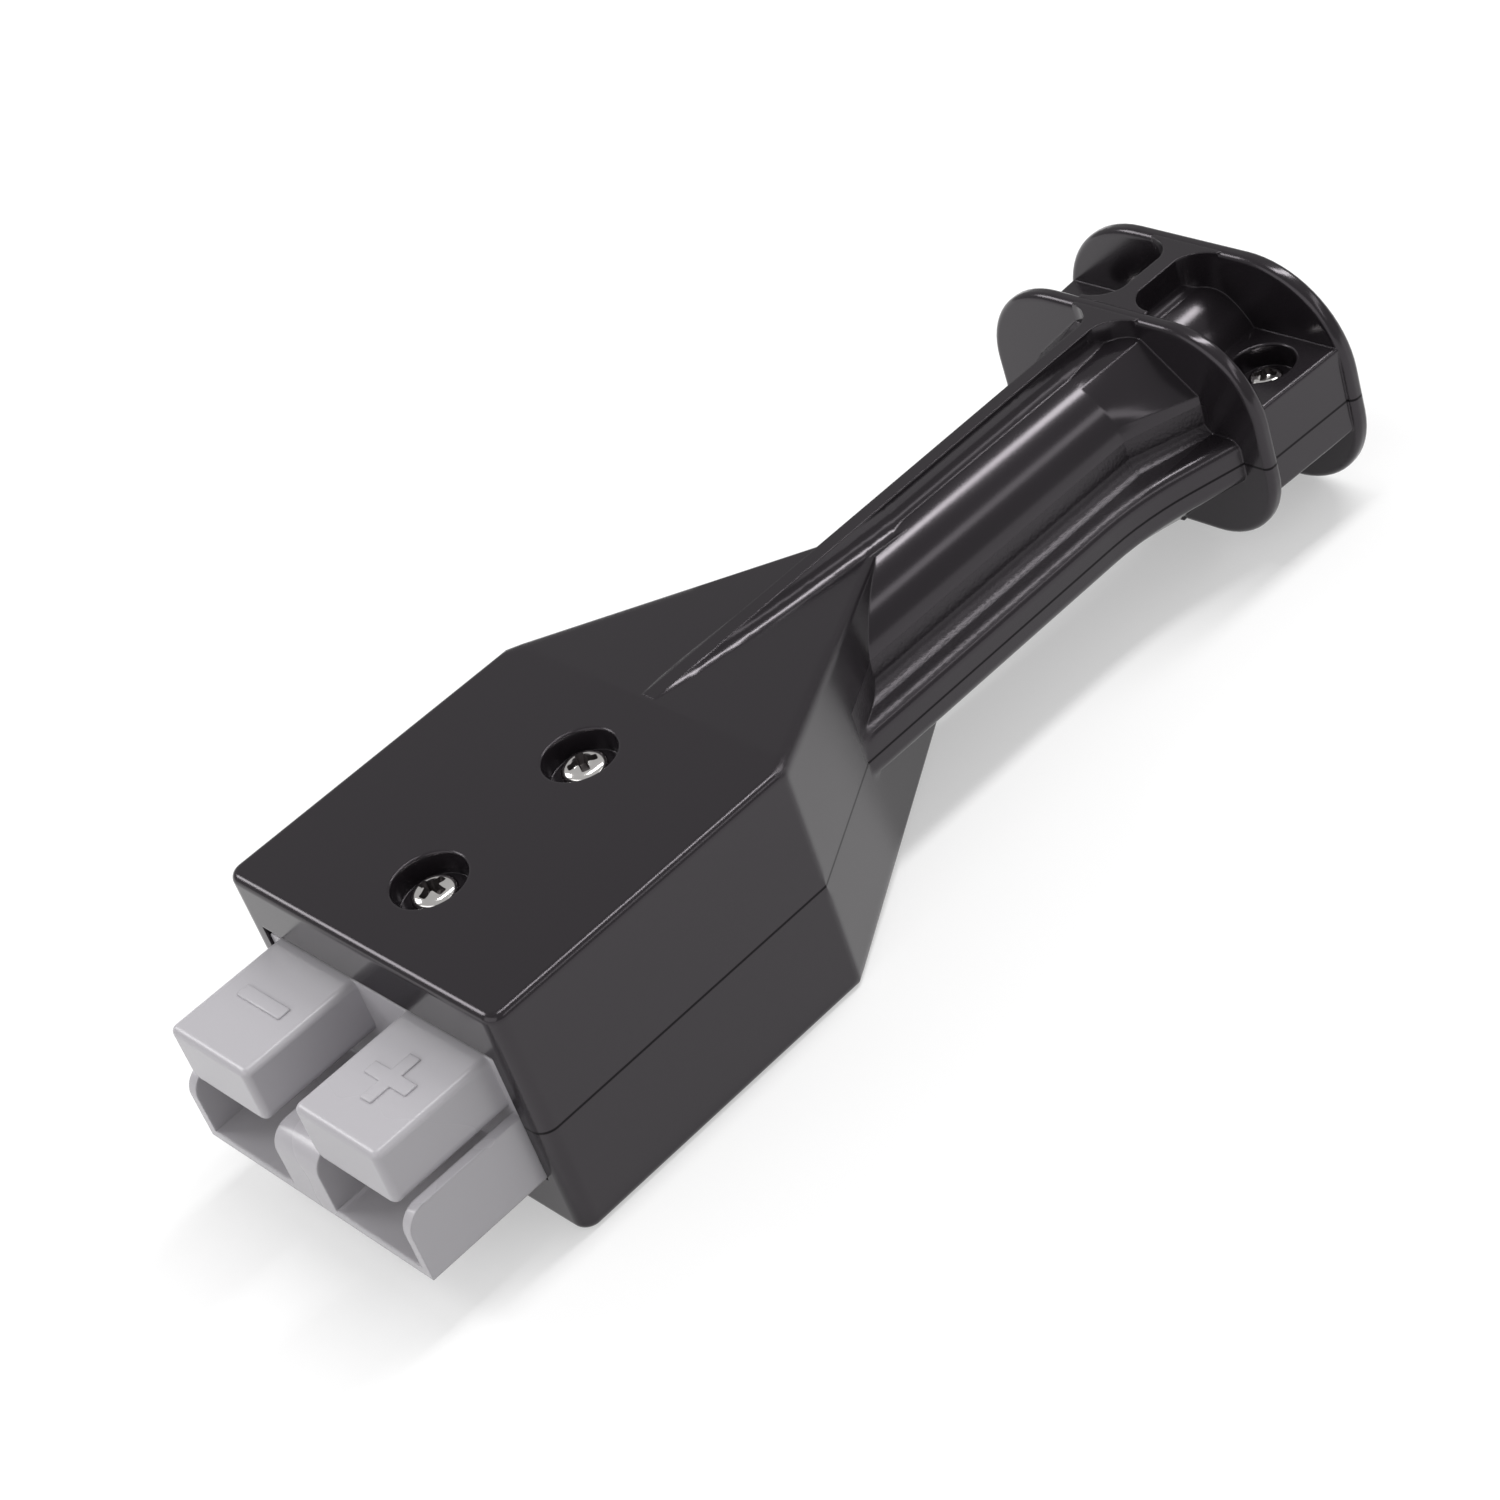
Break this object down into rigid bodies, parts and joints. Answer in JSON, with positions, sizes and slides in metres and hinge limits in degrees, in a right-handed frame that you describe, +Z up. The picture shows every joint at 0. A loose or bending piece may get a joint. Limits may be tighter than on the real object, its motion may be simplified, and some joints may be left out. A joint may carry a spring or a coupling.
{
  "type": "genderless power connector",
  "caption": "Two-pole genderless power connector in a two-shell black handle with a ribbed round grip, disc flanges and a screwed cable clamp.",
  "frame": {"origin": "centre of the handle's front face, on the parting plane between the two shells", "axes": "+Y along the handle from the mating end to the cable end, +Z up through the shell that carries the screw heads, +X to the right seen from behind the cable end"},
  "size_m": [0.0428, 0.1415, 0.0294],
  "materials": {
    "shell_plastic": "moulded black nylon, semi-gloss",
    "housing_plastic": "moulded grey polycarbonate, satin gloss",
    "contact_silver": "silver-plated copper",
    "spring_steel": "stainless leaf",
    "screw_nickel": "bright nickel plating",
    "nut_steel": "zinc plating"
  },
  "bodies": {
    "root": {"upper_shell": "shell_plastic", "lower_shell": "shell_plastic", "connector_housing": "housing_plastic", "contact_left": "contact_silver", "contact_right": "contact_silver", "contact_spring_left": "spring_steel", "contact_spring_right": "spring_steel", "body_screw_front": "screw_nickel", "body_screw_rear": "screw_nickel", "flange_screw_left": "screw_nickel", "flange_screw_right": "screw_nickel", "body_nut_front": "nut_steel", "body_nut_rear": "nut_steel", "flange_nut_left": "nut_steel", "flange_nut_right": "nut_steel"}
  },
  "joints": []
}
